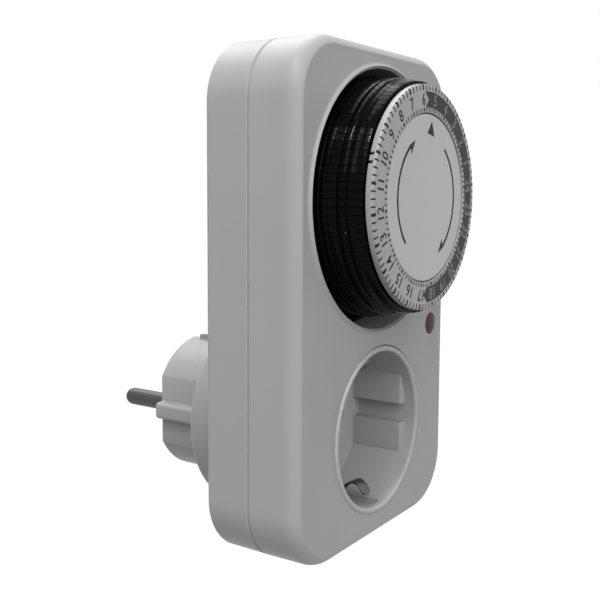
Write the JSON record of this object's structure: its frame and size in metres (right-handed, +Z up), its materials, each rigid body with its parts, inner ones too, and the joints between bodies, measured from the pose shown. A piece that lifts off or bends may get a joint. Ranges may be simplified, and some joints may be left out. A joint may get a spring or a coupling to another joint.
{
  "type": "plug-in timer switch",
  "caption": "Mechanical 24-hour timer switch that plugs into a wall socket, with a pass-through socket, an indicator lamp and a turning dial ringed with pegs that are pushed in.",
  "frame": {"origin": "centre of the plug's face, midway between its two pins", "axes": "+Y out of the plug along its pins, -Y out of the dial and socket, +Z up towards the dial, +X to the right of someone facing the dial"},
  "size_m": [0.0742, 0.0904, 0.1226],
  "materials": {
    "shell": "light grey moulded plastic with a fine spark-eroded texture",
    "tabs": "black glossy moulded plastic",
    "bezel": "near-black glossy moulded plastic",
    "dial_print": "satin white plastic with plain printed hour numbers and strokes",
    "lens": "translucent dark red polycarbonate",
    "lever": "orange moulded plastic",
    "frame": "ivory moulded thermoset",
    "gear": "white acetal, satin",
    "pin": "nickel plated, with fine lengthwise drawing marks",
    "contact": "bare stamped brass",
    "clip": "tinned spring strip, dull",
    "spring": "spring steel",
    "screw": "zinc plated steel",
    "motor": "drawn zinc plated sheet",
    "coil": "enamelled copper winding",
    "rotor": "sintered ferrite magnet",
    "lamp": "clear glass neon bulb",
    "resistor": "lacquered ceramic body",
    "wire": "brown insulation"
  },
  "bodies": {
    "root": {"front_shell": "shell", "rear_shell": "shell", "case_screws": "screw", "plug_body": "shell", "plug_pins": "pin", "plug_earth_contacts": "pin", "socket_cup": "shell", "socket_floor": "shell", "socket_contacts": "contact", "socket_earth_clip": "clip", "live_in_bar": "contact", "live_out_bar": "contact", "neutral_bar": "contact", "switch_base": "frame", "lever_pin": "screw", "indicator_lens": "lens", "neon_lamp": "lamp", "lamp_resistor": "resistor", "wiring": "wire", "dial_bezel": "bezel", "centre_plate": "dial_print", "dial_axle": "screw", "movement_plate": "frame", "plate_screws": "screw", "idler_axle": "screw", "motor_can": "motor", "motor_coil": "coil"},
    "dial": {"dial_drum": "tabs", "dial_gear": "gear", "friction_spring": "spring", "dial_ring": "dial_print"},
    "idler": {"idler_gear": "gear"},
    "motor_output": {"motor_pinion": "screw"},
    "rotor": {"motor_rotor": "rotor"},
    "lever": {"switch_lever": "lever"},
    "contact_leaf": {"moving_contact": "contact"},
    "hour_1_tabs": {"tabs_hour_1": "tabs"},
    "hour_2_tabs": {"tabs_hour_2": "tabs"},
    "hour_3_tabs": {"tabs_hour_3": "tabs"},
    "hour_4_tabs": {"tabs_hour_4": "tabs"},
    "hour_5_tabs": {"tabs_hour_5": "tabs"},
    "hour_6_tabs": {"tabs_hour_6": "tabs"},
    "hour_7_tabs": {"tabs_hour_7": "tabs"},
    "hour_8_tabs": {"tabs_hour_8": "tabs"},
    "hour_9_tabs": {"tabs_hour_9": "tabs"},
    "hour_10_tabs": {"tabs_hour_10": "tabs"},
    "hour_11_tabs": {"tabs_hour_11": "tabs"},
    "hour_12_tabs": {"tabs_hour_12": "tabs"},
    "hour_13_tabs": {"tabs_hour_13": "tabs"},
    "hour_14_tabs": {"tabs_hour_14": "tabs"},
    "hour_15_tabs": {"tabs_hour_15": "tabs"},
    "hour_16_tabs": {"tabs_hour_16": "tabs"},
    "hour_17_tabs": {"tabs_hour_17": "tabs"},
    "hour_18_tabs": {"tabs_hour_18": "tabs"},
    "hour_19_tabs": {"tabs_hour_19": "tabs"},
    "hour_20_tabs": {"tabs_hour_20": "tabs"},
    "hour_21_tabs": {"tabs_hour_21": "tabs"},
    "hour_22_tabs": {"tabs_hour_22": "tabs"},
    "hour_23_tabs": {"tabs_hour_23": "tabs"},
    "hour_24_tabs": {"tabs_hour_24": "tabs"}
  },
  "joints": [
    {"name": "dial_spin", "type": "hinge", "parent": "root", "child": "dial", "pos_m": [0, -0.06, 0.0582], "axis": [0, 1, 0], "continuous": true},
    {"name": "idler_spin", "type": "hinge", "parent": "root", "child": "idler", "pos_m": [0.01025, 0, 0.07595], "axis": [0, 1, 0], "continuous": true},
    {"name": "output_spin", "type": "hinge", "parent": "root", "child": "motor_output", "pos_m": [-0.00473, 0, 0.07517], "axis": [0, 1, 0], "continuous": true},
    {"name": "rotor_spin", "type": "hinge", "parent": "root", "child": "rotor", "pos_m": [0, -0.04, 0.066], "axis": [0, 1, 0], "continuous": true},
    {"name": "lever_rock", "type": "hinge", "parent": "root", "child": "lever", "pos_m": [-0.0275, -0.0455, 0.044], "axis": [-1, 0, 0], "range_deg": [-11, 0], "stiffness_Nm_per_rad": 0.02},
    {"name": "contact_flex", "type": "hinge", "parent": "root", "child": "contact_leaf", "pos_m": [-0.0275, -0.0467, 0.026], "axis": [1, 0, 0], "range_deg": [-7, 0]},
    {"name": "hour_1_push", "type": "slide", "parent": "dial", "child": "hour_1_tabs", "axis": [0, 1, 0], "range_m": [0, 0.003]},
    {"name": "hour_2_push", "type": "slide", "parent": "dial", "child": "hour_2_tabs", "axis": [0, 1, 0], "range_m": [0, 0.003]},
    {"name": "hour_3_push", "type": "slide", "parent": "dial", "child": "hour_3_tabs", "axis": [0, 1, 0], "range_m": [0, 0.003]},
    {"name": "hour_4_push", "type": "slide", "parent": "dial", "child": "hour_4_tabs", "axis": [0, 1, 0], "range_m": [0, 0.003]},
    {"name": "hour_5_push", "type": "slide", "parent": "dial", "child": "hour_5_tabs", "axis": [0, 1, 0], "range_m": [0, 0.003]},
    {"name": "hour_6_push", "type": "slide", "parent": "dial", "child": "hour_6_tabs", "axis": [0, 1, 0], "range_m": [0, 0.003]},
    {"name": "hour_7_push", "type": "slide", "parent": "dial", "child": "hour_7_tabs", "axis": [0, 1, 0], "range_m": [0, 0.003]},
    {"name": "hour_8_push", "type": "slide", "parent": "dial", "child": "hour_8_tabs", "axis": [0, 1, 0], "range_m": [0, 0.003]},
    {"name": "hour_9_push", "type": "slide", "parent": "dial", "child": "hour_9_tabs", "axis": [0, 1, 0], "range_m": [0, 0.003]},
    {"name": "hour_10_push", "type": "slide", "parent": "dial", "child": "hour_10_tabs", "axis": [0, 1, 0], "range_m": [0, 0.003]},
    {"name": "hour_11_push", "type": "slide", "parent": "dial", "child": "hour_11_tabs", "axis": [0, 1, 0], "range_m": [0, 0.003]},
    {"name": "hour_12_push", "type": "slide", "parent": "dial", "child": "hour_12_tabs", "axis": [0, 1, 0], "range_m": [0, 0.003]},
    {"name": "hour_13_push", "type": "slide", "parent": "dial", "child": "hour_13_tabs", "axis": [0, 1, 0], "range_m": [0, 0.003]},
    {"name": "hour_14_push", "type": "slide", "parent": "dial", "child": "hour_14_tabs", "axis": [0, 1, 0], "range_m": [0, 0.003]},
    {"name": "hour_15_push", "type": "slide", "parent": "dial", "child": "hour_15_tabs", "axis": [0, 1, 0], "range_m": [0, 0.003]},
    {"name": "hour_16_push", "type": "slide", "parent": "dial", "child": "hour_16_tabs", "axis": [0, 1, 0], "range_m": [0, 0.003]},
    {"name": "hour_17_push", "type": "slide", "parent": "dial", "child": "hour_17_tabs", "axis": [0, 1, 0], "range_m": [0, 0.003]},
    {"name": "hour_18_push", "type": "slide", "parent": "dial", "child": "hour_18_tabs", "axis": [0, 1, 0], "range_m": [0, 0.003]},
    {"name": "hour_19_push", "type": "slide", "parent": "dial", "child": "hour_19_tabs", "axis": [0, 1, 0], "range_m": [0, 0.003]},
    {"name": "hour_20_push", "type": "slide", "parent": "dial", "child": "hour_20_tabs", "axis": [0, 1, 0], "range_m": [0, 0.003]},
    {"name": "hour_21_push", "type": "slide", "parent": "dial", "child": "hour_21_tabs", "axis": [0, 1, 0], "range_m": [0, 0.003]},
    {"name": "hour_22_push", "type": "slide", "parent": "dial", "child": "hour_22_tabs", "axis": [0, 1, 0], "range_m": [0, 0.003]},
    {"name": "hour_23_push", "type": "slide", "parent": "dial", "child": "hour_23_tabs", "axis": [0, 1, 0], "range_m": [0, 0.003]},
    {"name": "hour_24_push", "type": "slide", "parent": "dial", "child": "hour_24_tabs", "axis": [0, 1, 0], "range_m": [0, 0.003]}
  ],
  "couplings": [
    {"joint": "idler_spin", "follows": "dial_spin", "ratio": -4.8571},
    {"joint": "output_spin", "follows": "dial_spin", "ratio": 19.429},
    {"joint": "contact_flex", "follows": "lever_rock", "ratio": 0.607}
  ]
}
